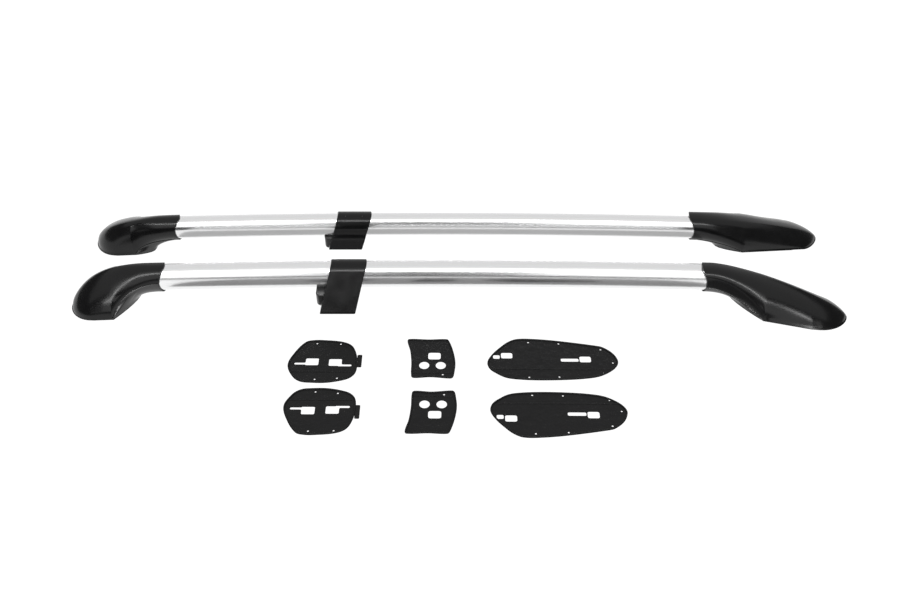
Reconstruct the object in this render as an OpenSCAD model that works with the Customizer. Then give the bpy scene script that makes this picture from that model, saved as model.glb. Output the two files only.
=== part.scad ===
// Pair of roof side rails with their six loose rubber gaskets.
// X runs along the rails with the long feet at +X, Y runs back, Z is up.
// The near rail and the far rail are mirror images: each has a wide side that slopes out
// and a narrow side that stands upright. Across a rail, s is positive on its wide side.
// Along a foot, u is measured from the foot's nose towards the tube.

/* [Pair] */
// Length of one rail from the nose of the short foot to the tip of the long foot
rail_l = 1525; // [1300:1:1800]
// Distance between the centre lines of the two tubes
rail_pitch = 152.5; // [140:0.5:400]

/* [Tube] */
// Long axis of the oval tube section
tube_h = 54; // [48:0.5:60]
// Short axis of the oval tube section
tube_w = 42; // [36:0.5:46]
// Lean of the long axis towards the narrow side, in degrees
tube_lean = 14; // [0:1:20]
// Wall of the tube
tube_wall = 2; // [1.5:0.1:3]
// Radius of the bow of the rail
bow_r = 16500; // [12000:100:40000]
// Height of the tube's centre line at the top of the bow
tube_top_z = 65; // [60:0.5:75]
// Place of the top of the bow along the rail
bow_x = -47; // [-200:5:200]
// How far the tube runs into each end foot
tube_insert = 14; // [12:1:16]

/* [Feet] */
// Wall of the moulded covers
cover_wall = 2.2; // [1.8:0.1:3]
// Wall of the closing panels
panel_wall = 1.6; // [1.2:0.1:2.2]
// Clearance between a cover and the tube
tube_gap = 0.3; // [0.2:0.05:0.6]
// Clearance between a cover, its closing panel and its base
panel_gap = 0.3; // [0.2:0.05:0.6]
// Height of the covers' lower rim above the underside of the base
rim_z = 4; // [3:0.5:6]
// Thickness of the base plates
base_t = 7; // [5.5:0.5:9]
// Depth of the hollow that each mouth takes out of the cover's end
mouth_dip = 10; // [1:0.5:12]
// Place of a narrow side's seam at the mouth, in degrees below the tube's middle
seam_angle = 25; // [10:1:40]

/* [Short foot] */
// Length of the short foot from nose to mouth
short_l = 181; // [170:1:220]
// Length of the short foot's base
short_base_l = 132; // [120:1:140]
// Distance from the nose to the corners where the cover leaves the base
short_corner = 91; // [80:1:98]
// Slope of the short foot's underside, which follows a curved roof, in degrees
short_slope = 3; // [0:0.5:5]
// Reach of the base on the wide side
short_wide = 69; // [60:1:80]
// Reach of the base on the narrow side
short_narrow = 30; // [27:1:36]
// Place of the wide side's seam at the mouth, in degrees below the tube's middle
short_seam = 3; // [0:1:30]
// Offset of the nose towards the wide side
short_nose_s = 22; // [10:1:30]
// Height of the nose above the underside
short_nose_z = 9; // [8:1:14]
// Distance from the nose to the place where the crown levels off
short_crown_l = 150; // [130:1:160]

/* [Long foot] */
// Length of the long foot from tip to mouth
long_l = 280; // [268:1:320]
// Length of the long foot's base
long_base_l = 234; // [220:1:242]
// Distance from the tip to the corners where the cover leaves the base
long_corner = 173; // [155:1:180]
// Slope of the long foot's underside, in degrees
long_slope = 6.6; // [4:0.2:8]
// How much lower the long foot's tip reaches than the short foot's nose
long_drop = 11; // [0:0.5:16]
// Reach of the base on the wide side
long_wide = 89; // [80:1:96]
// Reach of the base on the narrow side
long_narrow = 27; // [25:1:33]
// Place of the wide side's seam at the mouth, in degrees below the tube's middle
long_seam = 25; // [0:1:40]
// Offset of the tip towards the wide side
long_nose_s = 44; // [30:1:50]
// Height of the tip above the underside
long_nose_z = 7.5; // [7:0.5:12]
// Distance from the tip to the place where the crown levels off
long_crown_l = 270; // [240:1:275]

/* [Middle foot] */
// Place of the middle foot's top along the rail
mid_x = -211.5; // [-260:0.5:-150]
// Length of the middle foot along the rail
mid_l = 69; // [66:1:80]
// Shift of the underside towards the short foot
mid_rake = 24; // [10:1:30]
// Reach of the middle foot on the wide side
mid_wide = 66; // [58:1:76]
// Reach of the middle foot on the narrow side
mid_narrow = 28; // [26.5:0.5:34]
// Height of the middle foot's underside when the rail lies on a flat floor
mid_base_z = 18; // [14:1:22]
// Thickness of the middle foot's saddle over the tube
mid_saddle_t = 3.2; // [2.5:0.1:4]

/* [Fasteners] */
// Thread diameter of the mounting inserts
insert_thread_d = 8; // [6:1:10]
// Outer diameter of the inserts
insert_d = 12; // [11:0.5:14]
// Length of the inserts
insert_l = 11; // [9:0.5:12]
// Wall of the bosses around the inserts
boss_wall = 3; // [2:0.5:4]
// Shank diameter of the cover screws
screw_d = 4; // [3:0.5:5]
// Head diameter of the cover screws
screw_head_d = 8; // [7:0.5:9]
// Head height of the cover screws
screw_head_h = 2.6; // [2:0.2:3.4]
// Length of the cover screws below the head
screw_l = 14; // [10:1:16]
// Diameter of the locating pegs under the bases
peg_d = 3; // [2:0.5:4]
// Length of the locating pegs
peg_l = 1; // [0.5:0.1:1.2]

/* [Gaskets] */
// Thickness of the gaskets' web
gasket_t = 1.8; // [1.2:0.1:2.4]
// Height of the raised lip around a gasket
lip_h = 3.4; // [2.6:0.1:4.5]
// Width of the raised lip
lip_w = 3.2; // [2.4:0.1:4.5]
// Diameter of the round holes in the middle gasket
gasket_hole_d = 19; // [16:0.5:21]
// Diameter of the peg holes
peg_hole_d = 3.6; // [3:0.2:4.5]
// Gap between the far gasket row and the near tube's centre line
gasket_row_gap = 111; // [108:1:160]
// Distance between the wide edges of the two gasket rows
gasket_row_pitch = 238; // [232:1:260]

/* [Hidden] */
// Picks the short or the long foot's value in the lists below
short = 0;
long = 1;
foot_l = [short_l, long_l];
foot_base_l = [short_base_l, long_base_l];
foot_corner = [short_corner, long_corner];
foot_wide = [short_wide, long_wide];
foot_narrow = [short_narrow, long_narrow];
foot_nose_s = [short_nose_s, long_nose_s];
foot_nose_z = [short_nose_z, long_nose_z];
foot_crown_l = [short_crown_l, long_crown_l];
foot_slope = [short_slope, long_slope];
seam_wide = [short_seam, long_seam];
foot_drop = [0, long_drop];
// A rail that lies on a flat floor tilts, because its long foot reaches lower
rest_tilt = atan(long_drop / rail_l);
// Plan radius of the nose, and how round the crown's fall and its sweep to the side are
nose_r = [50, 60];
nose_power = [1.9, 1.7];
crown_power = [2, 1.7];
sweep_power = [1.5, 1.5];
// How fast the sides draw in along a foot: the wide side towards the tube, the narrow one to the nose
wide_taper = [0, 0.13];
taper_from = [0, 80];
narrow_taper = [0, 0.2];
// Where a foot's section starts and ends its change to the tube's oval
blend_from = [70, 130];
blend_to = [150, 240];
// How the seam climbs from the base's corner to the mouth
seam_start = [0.6, 0.95];
seam_power = [1.8, 1.6];
// Extra fullness of the wide shoulder
shoulder = [0, 9];
shoulder_from = 95;
// Fullness of the narrow shoulder
narrow_full = [0.75, 0.6];
// Where a base's tail ends across the rail, and how square its wide and its narrow corner are
tail_s = [0, 5];
tail_power = [1.4, 5];
belly_power = 3;
nose_cap = 0.5;
nose_wall = 6;
arc_points = 11;
panel_rows = 8;
panel_columns = 26;
seam_share = 0.34;
seam_gap = 0.9;
panel_steep = 2;
panel_pull = 0.5;

half_l = rail_l / 2;
cover_grow = cover_wall + tube_gap;
panel_grow = tube_gap + panel_wall;
spigot_grow = -tube_wall - 0.3;
spigot_l = 48;
web_t = 10;
web_gap = 12;
boss_h = insert_l + 4;
peg_sink = 0.5;
flange_inset = 1.6;
plate_inset = 8;
// Places of the inserts, the screws and the pegs of the end feet as [u, s]
insert_places = [[[43, 17], [87, 15]], [[46, 36], [184, 22]]];
screw_places = [[[65, 44], [65, -16]], [[90, 58], [90, 2]]];
peg_places = [[[26, 50], [70, 62], [45, -20]], [[22, 64], [92, 79], [148, 68], [150, -14]]];
// The middle foot's inserts stand under the tube, and its screws beside them
mid_insert_pitch = 31;
mid_insert_s = 1;
mid_block_s = 23;
mid_neck_z = 20;
mid_screw_s = 40;
mid_screw_pitch = 30;
mid_panel_h = 28;
mid_panel_r = 10;
mid_panel_s = [-22, 42];
mid_panel_out = 8;
ridge_w = 3;
ridge_h = 0.8;
// Places of the short, middle and long gaskets along each row, and how far each lies in from its row's edge
near_row_x = [-315, -94, 57];
near_row_in = [3.7, 7.5, 0];
far_row_x = [-320, -97, 54];
far_row_in = [5.6, 1.5, 0];

// The feet's layout puts the middle of the whole set at the origin
back_y = rail_pitch + long_wide;
front_y = -gasket_row_gap - gasket_row_pitch;
near_y = -(back_y + front_y) / 2;
far_y = near_y + rail_pitch;

function mix(a, b, t) = a + (b - a) * t;
function unit(t) = min(1, max(0, t));
function ease(t) = let (c = unit(t)) c * c * (3 - 2 * c);
// Rises from 0 to 1 as a rounded end does
function round_end(t, power) = pow(1 - pow(1 - unit(t), power), 1 / power);
function bezier(a, b, c, d, t) =
  a * pow(1 - t, 3) + 3 * b * t * pow(1 - t, 2) + 3 * c * t * t * (1 - t) + d * pow(t, 3);
function across(v) = [-v[1], v[0]] / norm(v);

// Height of the tube's centre line, and its rise for each millimetre along the rail
function tube_z(x) = tube_top_z - pow(x - bow_x, 2) / (2 * bow_r);
function tube_rise(x) = -(x - bow_x) / bow_r;
// Point of the tube's oval, grown outwards, at an angle from its wide side upwards
function oval(angle, grow) =
  (tube_w / 2 + grow) * cos(angle) * [cos(tube_lean), sin(tube_lean)]
  + (tube_h / 2 + grow) * sin(angle) * [-sin(tube_lean), cos(tube_lean)];
function oval_way(angle, grow) =
  (tube_w / 2 + grow) * -sin(angle) * [cos(tube_lean), sin(tube_lean)]
  + (tube_h / 2 + grow) * cos(angle) * [-sin(tube_lean), cos(tube_lean)];
function oval_handle(sweep) = 4 / 3 * tan(sweep / 4);

function foot_x(k, u) = k == short ? u - half_l : half_l - u;
function foot_axis(k, u) = [0, tube_z(foot_x(k, u))];
// Height of a foot's underside
function base_z(k, u) = u * tan(foot_slope[k]) - foot_drop[k];
// Reach of a foot's base on its wide side (1) or its narrow side (-1)
function reach(k, u, side) = side > 0
  ? foot_wide[k] - wide_taper[k] * max(0, u - taper_from[k])
  : -foot_narrow[k] + narrow_taper[k] * max(0, foot_corner[k] - u);
function base_edge(k, u, side, margin = 0) =
  mix(foot_nose_s[k], reach(k, u, side) - side * margin, round_end((u - margin) / nose_r[k], nose_power[k]));
// Lower edge of a cover: along the base to its corner, then up to the mouth
function climb(k, u) =
  let (t = unit((u - foot_corner[k]) / (foot_l[k] - foot_corner[k])))
  1 - pow(1 - pow(t, seam_start[k]), seam_power[k]);
function edge(k, u, side) =
  mix([base_edge(k, u, side), base_z(k, u) + rim_z],
      foot_axis(k, u) + oval(side > 0 ? -seam_wide[k] : 180 + seam_angle, cover_grow), climb(k, u));
// Highest line of a foot
function crown(k, u) =
  let (level = foot_axis(k, u) + oval(90, cover_grow),
       left = 1 - unit(u / foot_crown_l[k]))
  [mix(level[0], foot_nose_s[k], pow(left, sweep_power[k])),
   mix(level[1], foot_nose_z[k] - foot_drop[k], pow(left, crown_power[k]))];
function oval_share(k, u) = ease((u - blend_from[k]) / (blend_to[k] - blend_from[k]));
// Open outline of a foot's cover at u, from its wide edge over the crown to its narrow edge
function cover_arc(k, u, swell) =
  let (w = edge(k, u, 1), n = edge(k, u, -1), c = crown(k, u),
       share = oval_share(k, u),
       hold = oval_handle(90 + seam_angle),
       w_hold = oval_handle(90 + seam_wide[k]),
       full = swell * ease((u - shoulder_from) / 60),
       wide_s = w[0] - c[0], narrow_s = c[0] - n[0], rise = c[1] - w[1],
       w_way = oval_way(-seam_wide[k], cover_grow),
       w_hand = mix([-0.22 * wide_s, 0.5 * rise], w_way * w_hold, share) + full * [0.3, 1],
       cw_hand = mix([0.45 * wide_s, 0], -oval_way(90, cover_grow) * w_hold, share) + [full, 0],
       cn_hand = mix([-narrow_full[k] * narrow_s, 0], oval_way(90, cover_grow) * hold, share),
       n_hand = mix([0, narrow_full[k] * rise], -oval_way(180 + seam_angle, cover_grow) * hold, share))
  concat([for (i = [0 : arc_points - 1]) bezier(w, w + w_hand, c + cw_hand, c, i / arc_points)],
         [for (i = [0 : arc_points]) bezier(c, c + cn_hand, n + n_hand, n, i / arc_points)]);
// Point of the base's rounded tail, from its wide corner (0) to its narrow corner (1)
function tail_point(k, v, margin = 0) =
  let (out = abs(cos(180 * v)), side = v < 0.5 ? 1 : -1,
       u = mix(foot_corner[k], foot_base_l[k] - 1.5 * margin, 1 - pow(out, tail_power[v < 0.5 ? 0 : 1])))
  [u, mix(tail_s[k], reach(k, foot_corner[k], side) - side * margin, out), base_z(k, u) + rim_z];
// Point of the seam, and of the mouth's lower half between its two ends
function seam_u(k, t) = mix(foot_corner[k], foot_l[k] - 1, pow(unit(t), 1.5));
function seam_edge(k, u, side) = let (e = edge(k, u, side)) [u, e[0], e[1] - seam_gap];
function seam_point(k, v) =
  v < seam_share ? seam_edge(k, seam_u(k, v / seam_share), 1)
  : v > 1 - seam_share ? seam_edge(k, seam_u(k, (1 - v) / seam_share), -1)
  : let (turn = (v - seam_share) / (1 - 2 * seam_share),
         p = oval(mix(-seam_wide[k], seam_angle - 180, turn), panel_grow),
         u = foot_l[k] - 1 + mouth_dip * pow(p[1] / (tube_h / 2 + cover_grow), 2),
         q = foot_axis(k, u) + p)
    [u, q[0], q[1] - seam_gap];
// Rise of the seam for each millimetre along the foot; the mouth's lower half doesn't rise
function seam_rise(k, v) =
  let (side = v < 0.5 ? 1 : -1,
       u = seam_u(k, (side > 0 ? v : 1 - v) / seam_share),
       ahead = min(u + 2, foot_l[k]))
  min(v, 1 - v) < seam_share ? (edge(k, ahead, side)[1] - edge(k, u - 2, side)[1]) / (ahead - u + 2) : 0;
// Point of the closing panel, from the base's tail (t = 0) up to the seam (t = 1), which it meets from below
function panel_point(k, v, t) =
  let (a = tail_point(k, v), b = seam_point(k, v), way = [1, 0, panel_steep * seam_rise(k, v)],
       pull = panel_pull * norm([b[0] - a[0], b[2] - a[2]]))
  bezier(a, a + [0, 0, 0.3 * (b[2] - a[2])], b - pull * way / norm(way), b, t);
// Height of the closing panel's lowest line
function belly(k, u) =
  let (t = unit((u - foot_base_l[k]) / (foot_l[k] - foot_base_l[k])),
       top = foot_axis(k, foot_l[k])[1] + oval(270, panel_grow)[1])
  mix(base_z(k, foot_base_l[k]) + rim_z, top, 1 - pow(1 - t, belly_power));
// Moves an open run of points sideways by d
function shifted(run, d) =
  [for (i = [0 : len(run) - 1])
    run[i] + d * across(run[min(i + 1, len(run) - 1)] - run[max(i - 1, 0)])];
// Moves a closed run of points inwards by d
function inset(run, d) =
  let (n = len(run)) [for (i = [0 : n - 1]) run[i] + d * across(run[(i + 1) % n] - run[(i + n - 1) % n])];
// Closes a section with a point above its lower edge, so that the edge faces slope up inside
function hollowed(run) =
  let (w = run[0], n = run[len(run) - 1], c = run[arc_points])
  concat(run, [[(w[0] + n[0]) / 2, max(w[1], n[1]) + min(14, 0.4 * (c[1] - max(w[1], n[1])))]]);
function placed(u, run) = [for (p = run) [u, p[0], p[1]]];
// Closed smooth curve through a few points
function curve_through(pts, steps) =
  let (n = len(pts))
  [for (i = [0 : n - 1], j = [0 : steps - 1])
    let (a = pts[(i + n - 1) % n], b = pts[i], c = pts[(i + 1) % n], d = pts[(i + 2) % n],
         hold = norm(c - b) / 3)
    bezier(b, b + hold * (c - a) / norm(c - a), c - hold * (d - b) / norm(d - b), c, j / steps)];

// Outline of an end foot's base, drawn in by `margin`
function base_outline(k, margin) =
  let (steps = 8, nose_u = [for (i = [1 : steps]) margin + nose_r[k] * pow(i / steps, 2)],
       side_u = concat(nose_u, [for (u = [nose_r[k] + 20 : 20 : foot_corner[k] - 8]) u]))
  concat([[margin, foot_nose_s[k]]],
         [for (u = side_u) [u, base_edge(k, u, -1, margin)]],
         [for (i = [0 : 16]) let (p = tail_point(k, 1 - i / 16, margin)) [p[0], p[1]]],
         [for (i = [len(side_u) - 1 : -1 : 0]) [side_u[i], base_edge(k, side_u[i], 1, margin)]]);

// Closes equal loops of points, one behind the other, into a solid
module skin(loops) {
  n = len(loops[0]);
  m = len(loops);
  sides = [for (i = [0 : m - 2], j = [0 : n - 1])
    let (a = i * n + j, b = i * n + (j + 1) % n) each [[a, b + n, b], [a, a + n, b + n]]];
  polyhedron([for (l = loops) each l],
             concat([[for (j = [0 : n - 1]) j]], sides, [[for (j = [n - 1 : -1 : 0]) (m - 1) * n + j]]));
}

// Puts a foot's own (u, s, z) frame at its end of the rail
module at_foot(k) {
  if (k == short) translate([-half_l, 0, 0]) children();
  else translate([half_l, 0, 0]) mirror([1, 0, 0]) children();
}

// Tilts the base so that it follows the roof
module on_base(k) translate([0, 0, -foot_drop[k]]) rotate([0, -foot_slope[k], 0]) children();

// Straight length of the tube's oval, centred on the rail at x and lined up with it
module oval_bar(x, length, grow) {
  translate([x, 0, tube_z(x)])
    rotate([0, -atan(tube_rise(x)), 0])
      rotate([90, 0, 90])
        linear_extrude(length, center = true)
          polygon([for (i = [0 : 47]) oval(i * 7.5, grow)]);
}

module tube() {
  from = -half_l + short_l - tube_insert;
  to = half_l - long_l + tube_insert;
  steps = 12;
  points = 36;
  inner = [for (i = [0 : points - 1]) oval(360 * i / points, -tube_wall)];
  outer = [for (i = [0 : points - 1]) oval(360 * i / points, 0)];
  xs = [for (i = [0 : steps]) mix(from, to, i / steps)];
  color("silver")
    difference() {
      skin([for (x = xs) placed(x, [for (p = outer) p + [0, tube_z(x)]])]);
      skin([for (x = concat(from - 1, [for (i = [1 : steps - 1]) xs[i]], to + 1))
        placed(x, [for (p = inner) p + [0, tube_z(x)]])]);
    }
}

// Stations along a foot, closer together at its nose and where it leaves the base
function stations(k, from, to, steps) =
  [for (i = [0 : steps]) mix(from, to, (1 - cos(90 * i / steps) + i / steps) / 2)];

module foot_cover(k) {
  end = foot_l[k] + mouth_dip;
  steps = k == short ? 20 : 24;
  mouth_h = tube_h / 2 + cover_grow;
  mouth_r = (pow(mouth_h, 2) + pow(mouth_dip, 2)) / (2 * mouth_dip);
  outer_u = stations(k, nose_cap, end, steps);
  inner_u = concat(stations(k, nose_wall, end - 1, steps), [end + 1]);
  color("dimgray")
    difference() {
      union() {
        difference() {
          skin([for (u = outer_u) placed(u, hollowed(cover_arc(k, u, shoulder[k])))]);
          skin([for (u = inner_u)
            let (run = shifted(cover_arc(k, min(u, end), 0), cover_wall), n = len(run))
            placed(u, concat(run, [run[n - 1] - [0, 4], run[0] - [0, 4]]))]);
        }
        intersection() {
          skin([for (u = outer_u) placed(u, shifted(cover_arc(k, u, 0), cover_wall / 2))]);
          on_base(k)
            for (p = screw_places[k])
              translate([p[0], p[1], base_t + panel_gap])
                cylinder(d = screw_d + 5, h = 60, $fn = 32);
        }
      }
      on_base(k)
        for (p = screw_places[k])
          translate([p[0], p[1], 0])
            cylinder(d = screw_d, h = screw_head_h + screw_l + 2, $fn = 32);
      translate([foot_l[k] + mouth_r, 0, foot_axis(k, foot_l[k])[1]])
        rotate([90, 0, 0])
          cylinder(r = mouth_r, h = 200, center = true, $fn = 96);
    }
}

module foot_panel(k) {
  ends = 0.05;
  step = 0.01;
  color("gray")
    skin([for (i = [0 : panel_columns])
      let (v = mix(ends, 1 - ends, i / panel_columns),
           face = [for (j = [0 : panel_rows]) panel_point(k, v, j / panel_rows)],
           back = [for (j = [0 : panel_rows])
             let (t = min(j / panel_rows, 1 - step),
                  along = panel_point(k, v + step, t) - panel_point(k, v - step, t),
                  up = panel_point(k, v, t + step) - panel_point(k, v, t),
                  normal = cross(along, up))
             face[j] + panel_wall * normal / norm(normal)])
      concat(face, [for (j = [panel_rows : -1 : 0]) back[j]])]);
}

module foot_core(k) {
  tube_end = foot_l[k] - tube_insert;
  web_from = 0.43 * foot_l[k];
  web_step = foot_base_l[k] - 23;
  tube_end_x = foot_x(k, tube_end);
  toward = k == short ? 1 : -1;
  color("darkslategray") {
    at_foot(k)
      difference() {
        union() {
          on_base(k) {
            linear_extrude(rim_z - panel_gap)
              polygon(base_outline(k, flange_inset));
            linear_extrude(base_t)
              polygon(base_outline(k, plate_inset));
          }
          on_base(k)
            for (p = insert_places[k])
              translate([p[0], p[1], 1])
                cylinder(d = insert_d + 2 * boss_wall, h = boss_h - 1, $fn = 48);
          translate([0, web_t / 2, 0])
            rotate([90, 0, 0])
              linear_extrude(web_t)
                polygon(concat(
                  [for (u = [web_from : 6 : tube_end]) [u, crown(k, u)[1] - web_gap]],
                  [for (u = [tube_end : -6 : web_step]) [u, belly(k, u) + panel_wall + 4]],
                  [[web_step, base_z(k, web_step) + 2], [web_from, base_z(k, web_from) + 2]]));
          on_base(k)
            for (p = peg_places[k])
              translate([p[0], p[1], -peg_l])
                cylinder(d = peg_d, h = peg_l + peg_sink, $fn = 24);
        }
        on_base(k)
          for (p = insert_places[k])
            translate([p[0], p[1], -1])
              cylinder(d = insert_d, h = insert_l + 1.3, $fn = 48);
        on_base(k)
          for (p = screw_places[k])
            translate([p[0], p[1], -1]) {
              cylinder(d = screw_d + 0.4, h = base_t + 2, $fn = 32);
              cylinder(d = screw_head_d + 0.6, h = 1 + screw_head_h + 0.4, $fn = 32);
            }
      }
    oval_bar(tube_end_x + toward * (spigot_l / 2 - 6), spigot_l + 12, spigot_grow);
  }
}

module foot_inserts(k) {
  color("goldenrod")
    on_base(k)
      for (p = insert_places[k])
        translate([p[0], p[1], 0.3])
          difference() {
            cylinder(d = insert_d, h = insert_l, $fn = 48);
            translate([0, 0, -1])
              cylinder(d = insert_thread_d, h = insert_l + 2, $fn = 48);
          }
}

module screw() {
  cylinder(d = screw_head_d, h = screw_head_h, $fn = 32);
  cylinder(d = screw_d, h = screw_head_h + screw_l, $fn = 32);
}

module foot_screws(k) {
  color("lightgray")
    on_base(k)
      for (p = screw_places[k])
        translate([p[0], p[1], 0.4])
          screw();
}

// Outline of the middle foot across the rail, drawn in by `margin`
function mid_outline(margin) =
  let (axis = [0, tube_z(mid_x)], grow = mid_saddle_t)
  inset(concat(
    [[-mid_narrow, mid_base_z], [mid_wide, mid_base_z], [mid_wide, mid_base_z + rim_z]],
    [for (a = [25 : 7.5 : 182.5]) axis + oval(a, grow)],
    [[-mid_narrow, axis[1] - mid_neck_z]]), margin);

// Keeps what lies between the middle foot's raked ends, drawn in by `margin`
module mid_slice(margin) {
  over = 20;
  height = tube_z(mid_x) + tube_h / 2 - mid_base_z;
  rake = mid_rake / height;
  a = mid_x - mid_l / 2 + margin;
  b = mid_x + mid_l / 2 - margin;
  translate([0, 100, mid_base_z])
    rotate([90, 0, 0])
      linear_extrude(200)
        polygon([[a - mid_rake - rake * over, -over], [b - mid_rake - rake * over, -over],
                 [b + rake * over, height + over], [a + rake * over, height + over]]);
}

// Extrudes an outline of (s, z) points along the rail past the middle foot
module mid_run(outline) {
  translate([mid_x - 100, 0, 0])
    rotate([90, 0, 90])
      linear_extrude(200)
        polygon(outline);
}

// Places its children under the middle foot at the x of its underside's middle
module at_mid(s, along) translate([mid_x - mid_rake * 0.9 + along, s, mid_base_z]) children();

module middle_foot_cover() {
  color("dimgray")
    difference() {
      intersection() {
        mid_run(mid_outline(0));
        mid_slice(0);
        union() {
          difference() {
            mid_run(mid_outline(0));
            intersection() {
              mid_run(concat([[-mid_narrow + cover_wall, 0], [mid_wide - cover_wall * 1.4, 0]],
                [for (i = [2 : len(mid_outline(0)) - 1]) mid_outline(mid_saddle_t - tube_gap)[i]]));
              mid_slice(cover_wall);
            }
          }
          for (side = [-1, 1])
            at_mid(mid_screw_s, side * mid_screw_pitch / 2)
              translate([0, 0, base_t + panel_gap])
                cylinder(d = screw_d + 5, h = 60, $fn = 32);
        }
      }
      oval_bar(mid_x, 260, tube_gap);
      for (side = [-1, 1])
        at_mid(mid_screw_s, side * mid_screw_pitch / 2)
          cylinder(d = screw_d, h = screw_head_h + screw_l + 2, $fn = 32);
    }
}

module middle_foot_bracket() {
  margin = mid_saddle_t + panel_gap;
  color("darkslategray")
    difference() {
      intersection() {
        mid_slice(cover_wall + panel_gap);
        union() {
          mid_run([[-mid_narrow + margin, mid_base_z + 0.5],
                   [mid_wide - margin - 2, mid_base_z + 0.5],
                   [mid_wide - margin - base_t, mid_base_z + base_t],
                   [-mid_narrow + margin, mid_base_z + base_t]]);
          mid_run([[-mid_narrow + margin, mid_base_z + 1],
                   [mid_block_s, mid_base_z + 1],
                   [mid_block_s, tube_z(mid_x) - 8],
                   [-mid_narrow + margin + 4.5, tube_z(mid_x) - 8],
                   [-mid_narrow + margin, tube_z(mid_x) - mid_neck_z - 1]]);
        }
      }
      oval_bar(mid_x, 260, tube_gap);
      for (side = [-1, 1]) {
        at_mid(mid_insert_s, side * mid_insert_pitch / 2)
          translate([0, 0, -1])
            cylinder(d = insert_d, h = insert_l + 2, $fn = 48);
        at_mid(mid_screw_s, side * mid_screw_pitch / 2)
          translate([0, 0, -1]) {
            cylinder(d = screw_d + 0.4, h = base_t + 2, $fn = 32);
            cylinder(d = screw_head_d + 0.6, h = 1.5 + screw_head_h + 0.4, $fn = 32);
          }
      }
    }
}

// Rounded piece that closes the middle foot's raked end under the tube
module middle_foot_panel() {
  from_x = mid_x - mid_l / 2 - mid_rake - mid_panel_out;
  color("gray")
    difference() {
      translate([0, 0, mid_base_z])
        linear_extrude(mid_panel_h)
          slot([from_x, mid_panel_s[0]], [from_x + 70, mid_panel_s[1]], mid_panel_r);
      mid_half_space();
      oval_bar(mid_x - 60, 200, tube_gap);
    }
}

// Everything on the tube's side of the middle foot's raked end
module mid_half_space() {
  height = tube_z(mid_x) + tube_h / 2 - mid_base_z;
  a = mid_x - mid_l / 2 - panel_gap;
  translate([0, 100, mid_base_z])
    rotate([90, 0, 0])
      linear_extrude(200)
        polygon([[a - mid_rake * 1.5, -height / 2], [a + 300, -height / 2],
                 [a + 300, height * 1.5], [a + mid_rake * 0.5, height * 1.5]]);
}

module middle_foot_inserts() {
  color("goldenrod")
    for (side = [-1, 1])
      at_mid(mid_insert_s, side * mid_insert_pitch / 2)
        translate([0, 0, 0.8])
          difference() {
            cylinder(d = insert_d, h = insert_l, $fn = 48);
            translate([0, 0, -1])
              cylinder(d = insert_thread_d, h = insert_l + 2, $fn = 48);
          }
}

module middle_foot_screws() {
  color("lightgray")
    for (side = [-1, 1])
      at_mid(mid_screw_s, side * mid_screw_pitch / 2)
        translate([0, 0, 0.9])
          screw();
}

// Slot with its corners rounded, from one corner to the other
module slot(from, to, r) {
  size = to - from;
  translate(from) {
    translate([r, 0])
      square([size[0] - 2 * r, size[1]]);
    translate([0, r])
      square([size[0], size[1] - 2 * r]);
    for (x = [r, size[0] - r], y = [r, size[1] - r])
      translate([x, y])
        circle(r, $fn = 24);
  }
}

// Gasket web with its raised lip and its ridge, and with whatever holes its children draw
module gasket(points, ridge_y, ridge_from, ridge_to, pegs) {
  outline = curve_through(points, 3);
  color("black") {
    difference() {
      union() {
        linear_extrude(gasket_t)
          polygon(outline);
        translate([ridge_from, ridge_y - ridge_w / 2, 0])
          cube([ridge_to - ridge_from, ridge_w, gasket_t + ridge_h]);
      }
      translate([0, 0, -1])
        linear_extrude(lip_h + 2) {
          children();
          for (p = pegs)
            translate(p)
              circle(d = peg_hole_d, $fn = 24);
        }
    }
    difference() {
      linear_extrude(lip_h)
        polygon(outline);
      translate([0, 0, -1])
        linear_extrude(lip_h + 2)
          polygon(curve_through(inset(points, -lip_w), 3));
    }
  }
}

module short_gasket() {
  points = [[0, 64], [12, 92], [27, 104], [48, 107], [75, 107], [101, 102], [118, 95],
    [128, 82], [130, 60], [127, 36], [117, 14], [98, 4], [64, 0], [44, 0], [28, 5], [10, 32]];
  gasket(points, 80, 8, 122, [[50, 8], [95, 9], [54, 99], [95, 96]]) {
    slot([12, 57], [40, 62.5], 1);
    slot([33, 46], [57, 64], 4);
    slot([76.5, 47.5], [100.5, 65.5], 4);
    slot([94, 61], [119.5, 66.5], 1);
  }
  color("black")
    translate([129, 37, 0])
      cube([9, 31, gasket_t]);
}

module middle_gasket() {
  points = [[2, 0], [-1, 5], [5, 30], [8, 60], [9, 94], [14, 98], [45, 96], [80, 99],
    [86, 97], [89, 86], [91, 60], [87, 32], [79, 5], [74, 0], [40, 1]];
  gasket(points, 86, 12, 84, [[67.5, 90]]) {
    for (x = [32.5, 63.5])
      translate([x, 67])
        circle(d = gasket_hole_d, $fn = 48);
    slot([39.5, 34], [63, 52], 5);
  }
}

module long_gasket() {
  points = [[0, 60], [4, 76], [17, 88], [34, 98], [55, 102], [92, 104], [140, 103],
    [178, 100], [208, 94], [232, 80], [244, 66], [246, 54], [238, 36], [221, 21], [209, 17],
    [138, 5], [92, 0], [58, 0], [40, 8], [24, 23], [9, 41]];
  gasket(points, 77, 12, 232, [[77, 97], [133, 96], [217, 86], [79, 8], [137, 11], [216, 26], [236, 60]]) {
    slot([11, 41], [23.5, 51], 3);
    slot([26, 35], [47.5, 50], 4);
    slot([138.5, 49], [172, 57.5], 3);
    slot([174, 43.5], [195.5, 59], 4);
  }
}

// Tilts a rail onto its short nose and its long tip
module at_rest() translate([-half_l, 0, 0]) rotate([0, -rest_tilt, 0]) translate([half_l, 0, 0]) children();

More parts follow.
